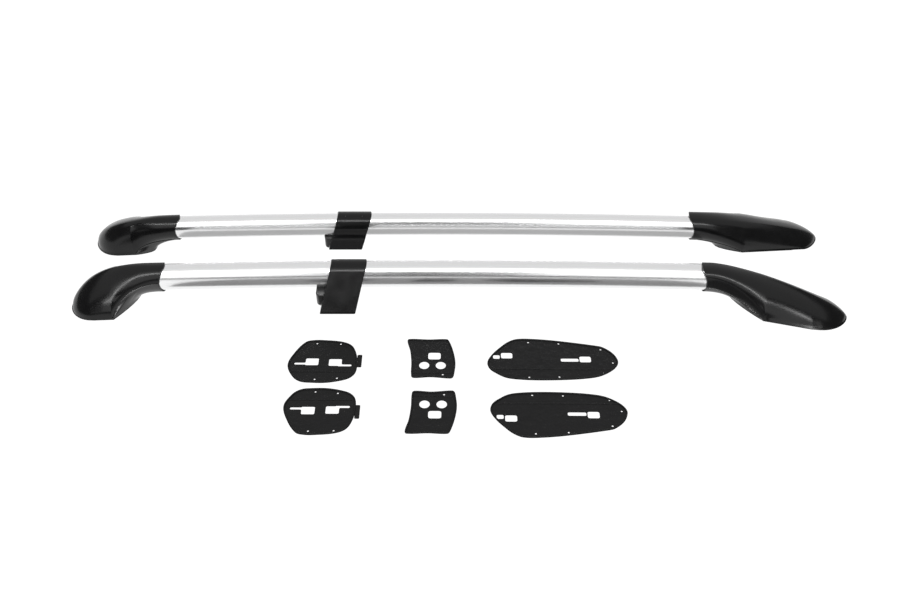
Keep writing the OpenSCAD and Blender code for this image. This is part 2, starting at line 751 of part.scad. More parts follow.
// Puts one rail's pieces on its line, with the wide side out: forwards on the near rail
module on_rail(far) {
  if (far) translate([0, far_y, 0]) at_rest() children();
  else translate([0, near_y, 0]) mirror([0, 1, 0]) at_rest() children();
}

// Puts a gasket in its row: the rows mirror each other with their wide edges outwards
module in_row(far, k) {
  if (far)
    translate([far_row_x[k], near_y - gasket_row_gap - far_row_in[k], 0])
      mirror([0, 1, 0])
        children();
  else
    translate([near_row_x[k], near_y - gasket_row_gap - gasket_row_pitch + near_row_in[k], 0])
      children();
}

on_rail(false) tube();  // near_tube
on_rail(false) at_foot(short) foot_cover(short);  // near_short_foot_cover
on_rail(false) at_foot(short) foot_panel(short);  // near_short_foot_panel
on_rail(false) foot_core(short);  // near_short_foot_core
on_rail(false) at_foot(short) foot_inserts(short);  // near_short_foot_inserts
on_rail(false) at_foot(short) foot_screws(short);  // near_short_foot_screws
on_rail(false) middle_foot_cover();  // near_middle_foot_cover
on_rail(false) middle_foot_panel();  // near_middle_foot_panel
on_rail(false) middle_foot_bracket();  // near_middle_foot_bracket
on_rail(false) middle_foot_inserts();  // near_middle_foot_inserts
on_rail(false) middle_foot_screws();  // near_middle_foot_screws
on_rail(false) at_foot(long) foot_cover(long);  // near_long_foot_cover
on_rail(false) at_foot(long) foot_panel(long);  // near_long_foot_panel
on_rail(false) foot_core(long);  // near_long_foot_core
on_rail(false) at_foot(long) foot_inserts(long);  // near_long_foot_inserts
on_rail(false) at_foot(long) foot_screws(long);  // near_long_foot_screws
in_row(false, 0) short_gasket();  // near_short_gasket
in_row(false, 1) middle_gasket();  // near_middle_gasket
in_row(false, 2) long_gasket();  // near_long_gasket
on_rail(true) tube();  // far_tube
on_rail(true) at_foot(short) foot_cover(short);  // far_short_foot_cover
on_rail(true) at_foot(short) foot_panel(short);  // far_short_foot_panel
on_rail(true) foot_core(short);  // far_short_foot_core
on_rail(true) at_foot(short) foot_inserts(short);  // far_short_foot_inserts
on_rail(true) at_foot(short) foot_screws(short);  // far_short_foot_screws
on_rail(true) middle_foot_cover();  // far_middle_foot_cover
on_rail(true) middle_foot_panel();  // far_middle_foot_panel
on_rail(true) middle_foot_bracket();  // far_middle_foot_bracket
on_rail(true) middle_foot_inserts();  // far_middle_foot_inserts
on_rail(true) middle_foot_screws();  // far_middle_foot_screws
on_rail(true) at_foot(long) foot_cover(long);  // far_long_foot_cover
on_rail(true) at_foot(long) foot_panel(long);  // far_long_foot_panel
on_rail(true) foot_core(long);  // far_long_foot_core
on_rail(true) at_foot(long) foot_inserts(long);  // far_long_foot_inserts
on_rail(true) at_foot(long) foot_screws(long);  // far_long_foot_screws
in_row(true, 0) short_gasket();  // far_short_gasket
in_row(true, 1) middle_gasket();  // far_middle_gasket
in_row(true, 2) long_gasket();  // far_long_gasket
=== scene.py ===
"""Looks of the roof side rail pair: smooth skins, rounded edges, materials, studio and camera.

The pieces follow the CAD source's formulas, in millimetres, at a higher resolution. The noses and
crowns of the end feet are rounder than there. A foot's own frame is (u, s, z): u runs from its nose
towards the tube, s points to its wide side. The rail's frame is (x, s, z), which then tilts by TILT
and goes to its line.
"""

import math

import bmesh
import bpy
import numpy as np
from mathutils import Matrix


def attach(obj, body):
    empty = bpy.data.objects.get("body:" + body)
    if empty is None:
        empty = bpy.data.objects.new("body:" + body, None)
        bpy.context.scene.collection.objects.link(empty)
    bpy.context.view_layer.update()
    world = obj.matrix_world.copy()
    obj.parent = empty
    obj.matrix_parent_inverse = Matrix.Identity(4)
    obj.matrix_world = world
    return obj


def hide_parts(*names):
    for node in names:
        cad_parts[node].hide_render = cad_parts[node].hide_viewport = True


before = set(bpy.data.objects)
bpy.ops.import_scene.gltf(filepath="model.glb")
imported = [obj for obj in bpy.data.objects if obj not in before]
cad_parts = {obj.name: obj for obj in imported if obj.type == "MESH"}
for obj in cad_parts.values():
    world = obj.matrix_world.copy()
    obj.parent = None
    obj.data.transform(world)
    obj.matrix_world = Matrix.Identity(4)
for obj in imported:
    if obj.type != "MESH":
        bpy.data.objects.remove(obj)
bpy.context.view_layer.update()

MM = 0.001
array = np.array

# Rail and tube
RAILS = (("near", False), ("far", True))
RAIL_L, PITCH = 1525.0, 152.5
HALF = RAIL_L / 2
TUBE_H, TUBE_W, TUBE_WALL = 54.0, 42.0, 2.0
LEAN = math.radians(14)
BOW_R, TOP_Z, BOW_X = 16500.0, 65.0, -47.0
TUBE_INSERT = 14.0
# Feet
COVER_WALL, PANEL_WALL, TUBE_GAP, RIM_Z = 2.2, 1.6, 0.3, 4.0
SEAM_ANGLE = 25.0
SEAM_SHARE, SEAM_GAP, SEAM_STOP, SEAM_SPREAD = 0.34, 1.5, 1.0, 1.5
RIM_LIP, LIP_FADE = (2.0, 0.45, 0.06), 14.0
PANEL_STEEP, PANEL_PULL, PANEL_LIFT, PANEL_ENDS = 2.0, 0.5, 0.3, 0.01
SHOULDER_OUT = 0.3
COVER_GROW = COVER_WALL + TUBE_GAP
PANEL_GROW = TUBE_GAP + PANEL_WALL
MOUTH_DIP, MOUTH_DIP_LOW = 10.0, 4.0
NOSE_WALL = 6.0
COVER_EDGE_R, PANEL_EDGE_R = 0.7, 0.4
LONG_DROP = 11.0
TILT = math.atan(LONG_DROP / RAIL_L)
# Middle foot
MID_X, MID_L, MID_RAKE = -213.0, 69.0, 22.5
MID_WIDE, MID_NARROW, MID_BASE_Z, MID_SADDLE = 66.0, 28.0, 18.0, 3.2
MID_WALL, MID_WIDE_WALL, MID_EDGE_R = 2.2, 3.1, 3.4
MID_ARC_FROM, MID_ARC_STEP, MID_ARC_POINTS, MID_NARROW_DROP = 25, 3.9375, 41, 20
MID_PANEL_H, MID_PANEL_R, MID_PANEL_S, MID_PANEL_OUT = 28.0, 10.0, (-22.0, 42.0), 8.0
MID_PANEL_L, MID_PANEL_EDGE_R, MID_PANEL_GAP = 70, 2.0, 0.3
DIMPLE_R, DIMPLE_OFF, DIMPLE_ANGLE, DIMPLE_OUT = 3.4, 17.0, 97, 2.4
# Gaskets
GASKET_T, LIP_H, LIP_W, HOLE_D, PEG_HOLE_D = 1.8, 3.4, 3.2, 19.0, 3.6
RIDGE_W, RIDGE_H = 3.0, 0.8
WEB_EDGE_R, LIP_EDGE_R, RIDGE_EDGE_R = 0.35, 1.2, 0.7
ROW_GAP, ROW_PITCH = 111.0, 238.0
NEAR_ROW_X, NEAR_ROW_IN = (-315, -94, 57), (3.7, 7.5, 0)
FAR_ROW_X, FAR_ROW_IN = (-320, -97, 54), (5.6, 1.5, 0)
# Camera: focal length and frame width in pixels, place in metres, downward angle in degrees
SENSOR, FOCAL_PIXELS, FRAME_PIXELS = 36.0, 1000.0, 920.0
CAMERA_X, CAMERA_BACK, CAMERA_UP, CAMERA_DOWN = 0.0025, 1.447, 1.3793, 44.13
# Studio, in metres: distance of the front cards, where the side cards end, and how high they are aimed
STRIP_FAR, GLOW_FAR, GLOW_END, CARD_LIFT = 3.4, 3.45, 2.65, 0.05
# Depth of the fine grain in metres
PLASTIC_GRAIN, CORE_GRAIN, METAL_GRAIN = 0.000003, 0.00006, 0.00002
RUBBER_GRAIN, CARD_GRAIN = 0.0016, 0.0002


class Foot:
    """Sizes of one kind of end foot.

    l, base_l, crown_l: where the mouth, the base and the crown's rise end along u.
    corner: where the seam leaves the lower rim. wide, narrow: reach to each side.
    nose_s, nose_z: the tip. nose_r: length over which each side of the base grows.
    slope, drop: the underside. seam: angle at which the wide seam meets the tube.
    taper values narrow the base; blend values say where the section turns into the oval.
    shoulder values swell the wide side; hand and full values shape the section's curves.
    tail values shape the panel's lower edge. The powers set how fast each curve rises.
    """

    def __init__(self, **sizes):
        self.__dict__.update(sizes)


SHORT = Foot(
    name="short", l=181.0, base_l=132.0, corner=91.0, wide=69.0, narrow=30.0,
    nose_s=22.0, nose_z=7.0, crown_l=150.0, slope=math.tan(math.radians(3)), seam=3.0, drop=0.0,
    nose_r=(50.0, 50.0), nose_power=1.9, crown_power=2.27, crown_round=1.53, sweep_power=3.4,
    wide_taper=0.0, taper_from=0.0, narrow_taper=0.0, blend_from=70.0, blend_to=150.0, seam_start=0.6,
    seam_power=1.8, shoulder=0.0, shoulder_from=95.0, shoulder_over=60.0, wide_hand=(0.1, 0.438),
    wide_full=0.25, narrow_full=0.576, tail_s=0.0, tail_power=(1.4, 5.0),
)
LONG = Foot(
    name="long", l=280.0, base_l=234.0, corner=173.0, wide=89.0, narrow=27.0,
    nose_s=44.0, nose_z=7.0, crown_l=270.0, slope=math.tan(math.radians(6.6)), seam=25.0,
    drop=LONG_DROP, nose_r=(60.0, 35.4), nose_power=1.7, crown_power=1.5, crown_round=1.285,
    sweep_power=1.37, wide_taper=0.13, taper_from=80.0, narrow_taper=0.2, blend_from=130.0, blend_to=240.0,
    seam_start=0.95, seam_power=1.6, shoulder=10.2, shoulder_from=100.0, shoulder_over=130.0,
    wide_hand=(-0.246, 0.673), wide_full=0.357, narrow_full=0.42, tail_s=5.0, tail_power=(1.4, 5.0),
)

BACK_Y = PITCH + LONG.wide
NEAR_Y = -(BACK_Y - ROW_GAP - ROW_PITCH) / 2
FAR_Y = NEAR_Y + PITCH


# Formulas of the tube and the feet
def mix(a, b, t):
    return a + (b - a) * t


def unit(t):
    return min(1.0, max(0.0, t))


def ease(t):
    c = unit(t)
    return c * c * (3 - 2 * c)


def bezier(a, b, c, d, t):
    return a * (1 - t) ** 3 + 3 * b * t * (1 - t) ** 2 + 3 * c * t * t * (1 - t) + d * t**3


def tube_z(x):
    return TOP_Z - (x - BOW_X) ** 2 / (2 * BOW_R)


LONG_WAY = array([-math.sin(LEAN), math.cos(LEAN)])
SHORT_WAY = array([math.cos(LEAN), math.sin(LEAN)])


def oval(deg, grow):
    a = math.radians(deg)
    return (TUBE_W / 2 + grow) * math.cos(a) * SHORT_WAY + (TUBE_H / 2 + grow) * math.sin(a) * LONG_WAY


def oval_way(deg, grow):
    a = math.radians(deg)
    return -(TUBE_W / 2 + grow) * math.sin(a) * SHORT_WAY + (TUBE_H / 2 + grow) * math.cos(a) * LONG_WAY


def oval_handle(sweep):
    return 4 / 3 * math.tan(math.radians(sweep) / 4)


def foot_x(foot, u):
    return u - HALF if foot is SHORT else HALF - u


def foot_axis(foot, u):
    return array([0.0, tube_z(foot_x(foot, u))])


def base_z(foot, u):
    return u * foot.slope - foot.drop


def reach(foot, u, side):
    if side > 0:
        return foot.wide - foot.wide_taper * max(0.0, u - foot.taper_from)
    return -foot.narrow + foot.narrow_taper * max(0.0, foot.corner - u)


def base_edge(foot, u, side):
    grown = (1 - (1 - unit(u / foot.nose_r[side < 0])) ** foot.nose_power) ** (1 / foot.nose_power)
    return mix(foot.nose_s, reach(foot, u, side), grown)


def climb(foot, u):
    t = unit((u - foot.corner) / (foot.l - foot.corner))
    return 1 - (1 - t**foot.seam_start) ** foot.seam_power


def edge(foot, u, side):
    low = array([base_edge(foot, u, side), base_z(foot, u) + RIM_Z])
    top = foot_axis(foot, u) + oval(-foot.seam if side > 0 else 180 + SEAM_ANGLE, COVER_GROW)
    return mix(low, top, climb(foot, u))


def crown(foot, u):
    level = foot_axis(foot, u) + oval(90, COVER_GROW)
    left = 1 - unit(u / foot.crown_l)
    grown = (1 - left**foot.crown_power) ** (1 / foot.crown_round)
    s = mix(level[0], foot.nose_s, left**foot.sweep_power)
    return array([s, mix(foot.nose_z - foot.drop, level[1], grown)])


def cover_curves(foot, u, swell):
    """The two Bezier curves of a cover's section: wide edge to crown, crown to narrow edge."""
    wide, narrow, top = edge(foot, u, 1), edge(foot, u, -1), crown(foot, u)
    share = ease((u - foot.blend_from) / (foot.blend_to - foot.blend_from))
    narrow_hold, wide_hold = oval_handle(90 + SEAM_ANGLE), oval_handle(90 + foot.seam)
    full = swell * ease((u - foot.shoulder_from) / foot.shoulder_over)
    wide_s, narrow_s, rise = wide[0] - top[0], top[0] - narrow[0], top[1] - wide[1]
    out, up = foot.wide_hand
    top_way = oval_way(90, COVER_GROW)
    narrow_way = -oval_way(180 + SEAM_ANGLE, COVER_GROW)
    wide_hand = mix(array([out * wide_s, up * rise]), oval_way(-foot.seam, COVER_GROW) * wide_hold, share)
    wide_hand = wide_hand + full * array([SHOULDER_OUT, 1.0])
    top_wide_hand = mix(array([foot.wide_full * wide_s, 0.0]), -top_way * wide_hold, share)
    top_wide_hand = top_wide_hand + array([full, 0])
    top_narrow_hand = mix(array([-foot.narrow_full * narrow_s, 0.0]), top_way * narrow_hold, share)
    narrow_hand = mix(array([0.0, foot.narrow_full * rise]), narrow_way * narrow_hold, share)
    wide_curve = (wide, wide + wide_hand, top + top_wide_hand, top)
    return wide_curve, (top, top + top_narrow_hand, narrow + narrow_hand, narrow)


def cover_point(foot, u, j, m, swell):
    """Point j of 2 m + 1 over a cover's section at u."""
    first, second = cover_curves(foot, u, swell)
    p = bezier(*first, j / m) if j < m else bezier(*second, (j - m) / m)
    return array([u, p[0], p[1]])


def mouth_u(foot, z):
    """Where the scooped mouth ends a cover at height z."""
    high = TUBE_H / 2 + COVER_GROW
    off = z - foot_axis(foot, foot.l)[1]
    dip = MOUTH_DIP if off > 0 else MOUTH_DIP_LOW
    r = (high**2 + dip**2) / (2 * dip)
    return foot.l + r - math.sqrt(max(0.0, r * r - off * off))


def tail_point(foot, v):
    out, side = abs(math.cos(math.pi * v)), 1 if v < 0.5 else -1
    u = mix(foot.corner, foot.base_l, 1 - out ** foot.tail_power[0 if v < 0.5 else 1])
    return array([u, mix(foot.tail_s, reach(foot, foot.corner, side), out), base_z(foot, u) + RIM_Z])


def seam_u(foot, t):
    return mix(foot.corner, foot.l - SEAM_STOP, unit(t) ** SEAM_SPREAD)


def seam_point(foot, v):
    if min(v, 1 - v) < SEAM_SHARE:
        side = 1 if v < 0.5 else -1
        u = seam_u(foot, min(v, 1 - v) / SEAM_SHARE)
        e = edge(foot, u, side)
        return array([u, e[0], e[1] - SEAM_GAP])
    turn = (v - SEAM_SHARE) / (1 - 2 * SEAM_SHARE)
    p = oval(mix(-foot.seam, SEAM_ANGLE - 180, turn), PANEL_GROW)
    u = foot.l - SEAM_STOP + MOUTH_DIP_LOW * (p[1] / (TUBE_H / 2 + COVER_GROW)) ** 2
    q = foot_axis(foot, u) + p
    return array([u, q[0], q[1] - SEAM_GAP])


def seam_rise(foot, v):
    if min(v, 1 - v) >= SEAM_SHARE:
        return 0.0
    side = 1 if v < 0.5 else -1
    u = seam_u(foot, min(v, 1 - v) / SEAM_SHARE)
    ahead = min(u + 2, foot.l)
    return (edge(foot, ahead, side)[1] - edge(foot, u - 2, side)[1]) / (ahead - u + 2)


def panel_point(foot, v, t):
    a, b = tail_point(foot, v), seam_point(foot, v)
    way = array([1.0, 0.0, PANEL_STEEP * seam_rise(foot, v)])
    pull = PANEL_PULL * math.hypot(b[0] - a[0], b[2] - a[2])
    up = array([0.0, 0.0, PANEL_LIFT * (b[2] - a[2])])
    return bezier(a, a + up, b - pull * way / np.linalg.norm(way), b, t)


# Frames and meshes
def rail_to_world(points, far):
    """Rail-frame points in mm to the row frame in metres."""
    p = np.asarray(points, float)
    x = p[:, 0] + HALF
    wx = x * math.cos(TILT) - p[:, 2] * math.sin(TILT) - HALF
    wz = x * math.sin(TILT) + p[:, 2] * math.cos(TILT)
    wy = FAR_Y + p[:, 1] if far else NEAR_Y - p[:, 1]
    return np.stack([wx, wy, wz], 1) * MM


def foot_to_rail(foot, points):
    p = np.array(points, float)
    p[:, 0] = p[:, 0] - HALF if foot is SHORT else HALF - p[:, 0]
    return p


def new_object(name, points, faces):
    mesh = bpy.data.meshes.new(name)
    mesh.from_pydata([tuple(p) for p in points], [], faces)
    obj = bpy.data.objects.new(name, mesh)
    bpy.context.scene.collection.objects.link(obj)
    tidy_mesh(obj, 35)
    return obj


def tidy_mesh(obj, sharp):
    """Normals outwards, smooth faces, and sharp edges where the surface bends by over `sharp` degrees."""
    bm = bmesh.new()
    bm.from_mesh(obj.data)
    bmesh.ops.recalc_face_normals(bm, faces=bm.faces)
    limit = math.radians(sharp)
    for f in bm.faces:
        f.smooth = True
    for e in bm.edges:
        e.smooth = len(e.link_faces) == 2 and e.calc_face_angle(0) < limit
    bm.to_mesh(obj.data)
    bm.free()


def apply_modifiers(obj):
    bpy.context.view_layer.update()
    depsgraph = bpy.context.evaluated_depsgraph_get()
    mesh = bpy.data.meshes.new_from_object(obj.evaluated_get(depsgraph))
    obj.modifiers.clear()
    obj.data = mesh


def bevel(obj, width, segments, angle):
    m = obj.modifiers.new("round", "BEVEL")
    m.width = width * MM
    m.segments = segments
    m.limit_method = "ANGLE"
    m.angle_limit = math.radians(angle)
    m.harden_normals = False
    apply_modifiers(obj)


def weigh_normals(obj):
    m = obj.modifiers.new("normals", "WEIGHTED_NORMAL")
    m.keep_sharp = True
    apply_modifiers(obj)


def cut(obj, tools):
    """Takes the tools' solids out of obj and deletes them."""
    for t in tools:
        m = obj.modifiers.new("cut", "BOOLEAN")
        m.operation = "DIFFERENCE"
        m.solver = "EXACT"
        m.object = t
        apply_modifiers(obj)
        bpy.data.objects.remove(t)


def shell(outer, inner):
    """Closed skin between two grids of points, whose first outer row is folded onto itself."""
    rows, cols = outer.shape[:2]
    mid = (cols - 1) // 2
    points, outer_at, inner_at = [], {}, {}
    for i in range(rows):
        for j in range(cols):
            if i == 0 and j > mid:
                outer_at[i, j] = outer_at[0, cols - 1 - j]
                continue
            outer_at[i, j] = len(points)
            points.append(outer[i, j])
    for i in range(rows):
        for j in range(cols):
            inner_at[i, j] = len(points)
            points.append(inner[i, j])
    faces = []

    def strip(a, b, c, d):
        kept = []
        for x in (a, b, c, d):
            if x not in kept:
                kept.append(x)
        if len(kept) > 2:
            faces.append(kept)

    for i in range(rows - 1):
        for j in range(cols - 1):
            strip(outer_at[i, j], outer_at[i + 1, j], outer_at[i + 1, j + 1], outer_at[i, j + 1])
            strip(inner_at[i, j + 1], inner_at[i + 1, j + 1], inner_at[i + 1, j], inner_at[i, j])
        for j in (0, cols - 1):
            strip(outer_at[i, j], inner_at[i, j], inner_at[i + 1, j], outer_at[i + 1, j])
    end = rows - 1
    for j in range(cols - 1):
        strip(outer_at[end, j], inner_at[end, j], inner_at[end, j + 1], outer_at[end, j + 1])
    faces.append([outer_at[0, 0], inner_at[0, cols - 1], inner_at[0, 0]])
    faces.append([inner_at[0, j] for j in range(cols)])
    return points, faces


def drum_faces(n):
    """Faces of a solid between two rings of n points each: its sides and both ends."""
    faces = [[i, (i + 1) % n, n + (i + 1) % n, n + i] for i in range(n)]
    return faces + [list(range(n)), [n + i for i in range(n)]]


def inward(grid, thickness):
    """Grid moved to its inner side by a thickness."""
    du = np.gradient(grid, axis=0)
    dv = np.gradient(grid, axis=1)
    n = np.cross(du, dv)
    n /= np.maximum(np.linalg.norm(n, axis=2, keepdims=True), 1e-9)
    return grid + thickness * n


# Shapes in the foot's or the rail's frame
def cover_grids(foot):
    m = 26
    cols = 2 * m + 1
    rows = 96 if foot is SHORT else 120
    share = [(i / (rows - 1)) ** 1.6 for i in range(rows)]
    end = []
    for j in range(cols):
        u = foot.l
        for _ in range(4):
            u = mouth_u(foot, cover_point(foot, u, j, m, foot.shoulder)[2])
        end.append(u)
    outer = array([
        [cover_point(foot, end[j] * t, j, m, foot.shoulder) for j in range(cols)] for t in share
    ])
    low, high = base_z(foot, 0) + RIM_Z, foot.nose_z - foot.drop
    for j in range(cols):
        outer[0, j] = [0.0, foot.nose_s, mix(low, high, 1 - abs(j - m) / m)]
    add_lip(foot, outer)
    base = array([
        [cover_point(foot, mix(NOSE_WALL, end[j], t), j, m, 0.0) for j in range(cols)] for t in share
    ])
    inner = inward(base, COVER_WALL)
    inner[-1, :, 0] = outer[-1, :, 0]
    return outer, inner


def add_lip(foot, outer):
    """Flares the lower rim outwards along the base, and fades out where the seam climbs."""
    rows, cols = outer.shape[:2]
    for side, first in ((1, 0), (-1, cols - 1)):
        way = np.gradient(outer[:, first], axis=0)
        for k, by in enumerate(RIM_LIP):
            j = first + side * k
            for i in range(rows):
                left = 1 - ease((outer[i, j, 0] - foot.corner + LIP_FADE) / LIP_FADE)
                n = array([-way[i, 1], way[i, 0]]) * side
                if i == 0:
                    n = array([-1.0, 0.0])
                outer[i, j, :2] += by * left * n / max(np.linalg.norm(n), 1e-9)


def panel_solid(foot):
    cols, rows = 72, 22
    vs = [mix(PANEL_ENDS, 1 - PANEL_ENDS, i / (cols - 1)) for i in range(cols)]
    face = array([[panel_point(foot, v, t / (rows - 1)) for t in range(rows)] for v in vs])
    back = inward(face, PANEL_WALL)
    points = list(face.reshape(-1, 3)) + list(back.reshape(-1, 3))
    off = cols * rows

    def at(i, j):
        return i * rows + j

    faces = []
    for i in range(cols - 1):
        for j in range(rows - 1):
            q = [at(i, j), at(i + 1, j), at(i + 1, j + 1), at(i, j + 1)]
            faces.append(q)
            faces.append([off + k for k in reversed(q)])
        for j in (0, rows - 1):
            faces.append([at(i, j), off + at(i, j), off + at(i + 1, j), at(i + 1, j)])
    for j in range(rows - 1):
        for i in (0, cols - 1):
            faces.append([at(i, j), at(i, j + 1), off + at(i, j + 1), off + at(i, j)])
    return points, faces


def tube_solid():
    start, stop = -HALF + SHORT.l - TUBE_INSERT, HALF - LONG.l + TUBE_INSERT
    steps, n = 90, 120
    points = []
    for grow in (0.0, -TUBE_WALL):
        ring = [oval(360 * i / n, grow) for i in range(n)]
        for k in range(steps + 1):
            x = mix(start, stop, k / steps)
            points += [(x, p[0], p[1] + tube_z(x)) for p in ring]
    off = (steps + 1) * n
    faces = []
    for k in range(steps):
        for i in range(n):
            a, b = k * n + i, k * n + (i + 1) % n
            faces.append([a, b, b + n, a + n])
            faces.append([off + a + n, off + b + n, off + b, off + a])
    for k in (0, steps):
        for i in range(n):
            a, b = k * n + i, k * n + (i + 1) % n
            faces.append([a, b, off + b, off + a])
    return points, faces


def prism(outline, x_of):
    """Solid between two raked ends: outline is a closed run of (s, z), x_of gives both ends at z."""
    points = [(x_of(z)[0], s, z) for s, z in outline] + [(x_of(z)[1], s, z) for s, z in outline]
    return points, drum_faces(len(outline))


MID_HEIGHT = tube_z(MID_X) + TUBE_H / 2 - MID_BASE_Z


def mid_ends(z, margin=0.0):
    lean = MID_RAKE * (1 - (z - MID_BASE_Z) / MID_HEIGHT)
    return MID_X - MID_L / 2 + margin - lean, MID_X + MID_L / 2 - margin - lean


def mid_outline(grow):
    axis = array([0.0, tube_z(MID_X)])
    run = [(-MID_NARROW, MID_BASE_Z), (MID_WIDE, MID_BASE_Z), (MID_WIDE, MID_BASE_Z + RIM_Z)]
    run += [tuple(axis + oval(MID_ARC_FROM + MID_ARC_STEP * i, grow)) for i in range(MID_ARC_POINTS)]
    return run + [(-MID_NARROW, axis[1] - MID_NARROW_DROP)]


def oval_rod(x, length, grow):
    n = 96
    run = [oval(360 * i / n, grow) for i in range(n)]
    rise = -(x - BOW_X) / BOW_R
    points = []
    for end in (-length / 2, length / 2):
        points += [(x + end, p[0], p[1] + tube_z(x) + end * rise) for p in run]
    return points, drum_faces(n)


# Materials
def grey(value, blue):
    """Grey with its own value for blue."""
    return value, value, blue


def principled(name, colour, rough, metal=0.0, gloss=0.5):
    mat = bpy.data.materials.new(name)
    mat.use_nodes = True
    nodes, links = mat.node_tree.nodes, mat.node_tree.links
    shader = nodes["Principled BSDF"]
    shader.inputs["Base Color"].default_value = (*colour, 1)
    shader.inputs["Roughness"].default_value = rough
    shader.inputs["Metallic"].default_value = metal
    shader.inputs["Specular IOR Level"].default_value = gloss
    return mat, nodes, links, shader


def coordinates(nodes, links, scale=(1, 1, 1)):
    where = nodes.new("ShaderNodeTexCoord")
    spread = nodes.new("ShaderNodeMapping")
    spread.inputs["Scale"].default_value = scale
    links.new(where.outputs["Object"], spread.inputs["Vector"])
    return spread.outputs["Vector"]


def noise(nodes, links, vector, scale, detail=2.0, rough=0.5):
    n = nodes.new("ShaderNodeTexNoise")
    n.inputs["Scale"].default_value = scale
    n.inputs["Detail"].default_value = detail
    n.inputs["Roughness"].default_value = rough
    links.new(vector, n.inputs["Vector"])
    return n.outputs["Fac"]


def ramp(nodes, links, value, low, high):
    """Spreads the middle part of a noise value over low to high."""
    r = nodes.new("ShaderNodeMapRange")
    r.inputs["From Min"].default_value = 0.3
    r.inputs["From Max"].default_value = 0.7
    r.inputs["To Min"].default_value = low
    r.inputs["To Max"].default_value = high
    links.new(value, r.inputs["Value"])
    return r.outputs["Result"]


def colours(nodes, links, value, dark, light):
    m = nodes.new("ShaderNodeMix")
    m.data_type = "RGBA"
    m.inputs[6].default_value = (*dark, 1)
    m.inputs[7].default_value = (*light, 1)
    links.new(value, m.inputs[0])
    return m.outputs[2]


def bump(nodes, links, shader, height, distance):
    b = nodes.new("ShaderNodeBump")
    b.inputs["Strength"].default_value = 1.0
    b.inputs["Distance"].default_value = distance
    links.new(height, b.inputs["Height"])
    links.new(b.outputs["Normal"], shader.inputs["Normal"])


def moulded_plastic(name, dark, light, rough, grain, gloss):
    mat, nodes, links, shader = principled(name, light, rough, 0.0, gloss)
    at = coordinates(nodes, links)
    cloud = noise(nodes, links, at, 38, 4)
    fine = noise(nodes, links, at, 1900, 3, 0.6)
    links.new(colours(nodes, links, cloud, dark, light), shader.inputs["Base Color"])
    links.new(ramp(nodes, links, cloud, rough - 0.035, rough + 0.045), shader.inputs["Roughness"])
    bump(nodes, links, shader, fine, grain)
    return mat


def anodised():
    mat, nodes, links, shader = principled("anodised_aluminium", grey(0.80, 0.81), 0.23, 1.0)
    along = coordinates(nodes, links, (3.0, 700.0, 700.0))
    lines = noise(nodes, links, along, 1.0, 3, 0.6)
    cloud = noise(nodes, links, coordinates(nodes, links), 7, 3)
    colour = colours(nodes, links, lines, grey(0.83, 0.835), grey(0.92, 0.925))
    links.new(colour, shader.inputs["Base Color"])
    links.new(ramp(nodes, links, cloud, 0.21, 0.25), shader.inputs["Roughness"])
    bump(nodes, links, shader, lines, METAL_GRAIN)
    return mat


def rubber():
    mat, nodes, links, shader = principled("gasket_rubber", grey(0.009, 0.0095), 0.4, 0.0, 0.2)
    at = coordinates(nodes, links)
    cloud = noise(nodes, links, at, 30, 4)
    wave = noise(nodes, links, at, 75, 2)
    fine = noise(nodes, links, at, 1100, 2)
    both = nodes.new("ShaderNodeMath")
    both.operation = "MULTIPLY_ADD"
    both.inputs[1].default_value = 0.12
    links.new(fine, both.inputs[0])
    links.new(wave, both.inputs[2])
    colour = colours(nodes, links, cloud, grey(0.003, 0.0032), grey(0.007, 0.0073))
    links.new(colour, shader.inputs["Base Color"])
    links.new(ramp(nodes, links, cloud, 0.3, 0.45), shader.inputs["Roughness"])
    bump(nodes, links, shader, both.outputs[0], RUBBER_GRAIN)
    return mat


def metal(name, colour, rough):
    mat, nodes, links, shader = principled(name, colour, rough, 1.0)
    at = coordinates(nodes, links)
    fine = noise(nodes, links, at, 900, 3)
    dark = tuple(0.86 * c for c in colour)
    links.new(colours(nodes, links, fine, dark, colour), shader.inputs["Base Color"])
    links.new(ramp(nodes, links, fine, rough - 0.05, rough + 0.07), shader.inputs["Roughness"])
    bump(nodes, links, shader, fine, METAL_GRAIN)
    return mat


COVER = moulded_plastic(
    "satin_black_plastic", grey(0.003, 0.0031), grey(0.005, 0.0052), 0.2, PLASTIC_GRAIN, 0.28)
PANEL = moulded_plastic(
    "satin_panel_plastic", grey(0.005, 0.0051), grey(0.009, 0.0092), 0.25, PLASTIC_GRAIN, 0.75)
CORE = moulded_plastic("core_plastic", grey(0.004, 0.0042), grey(0.008, 0.0083), 0.5, CORE_GRAIN, 0.3)
TUBE = anodised()
RUBBER = rubber()
BRASS = metal("insert_brass", (0.72, 0.56, 0.28), 0.32)
STEEL = metal("screw_steel", (0.6, 0.6, 0.6), 0.3)


def dress(obj, material, slot, *nodes):
    obj.data.materials.clear()
    obj.data.materials.append(material)
    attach(obj, "root")
    if nodes:
        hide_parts(*nodes)
    return obj


# Camera, floor and light
def place_camera():
    camera = bpy.data.cameras.new("camera")
    camera.sensor_width = SENSOR
    camera.lens = SENSOR * FOCAL_PIXELS / FRAME_PIXELS
    camera.clip_end = 100
    obj = bpy.data.objects.new("camera", camera)
    bpy.context.scene.collection.objects.link(obj)
    hinge = Matrix.Translation((-HALF * MM, 0, 0))
    look = Matrix.Translation((CAMERA_X, NEAR_Y * MM - CAMERA_BACK, CAMERA_UP))
    look = look @ Matrix.Rotation(math.radians(90 - CAMERA_DOWN), 4, "X")
    obj.matrix_world = hinge @ Matrix.Rotation(-TILT, 4, "Y") @ hinge.inverted() @ look
    bpy.context.scene.camera = obj


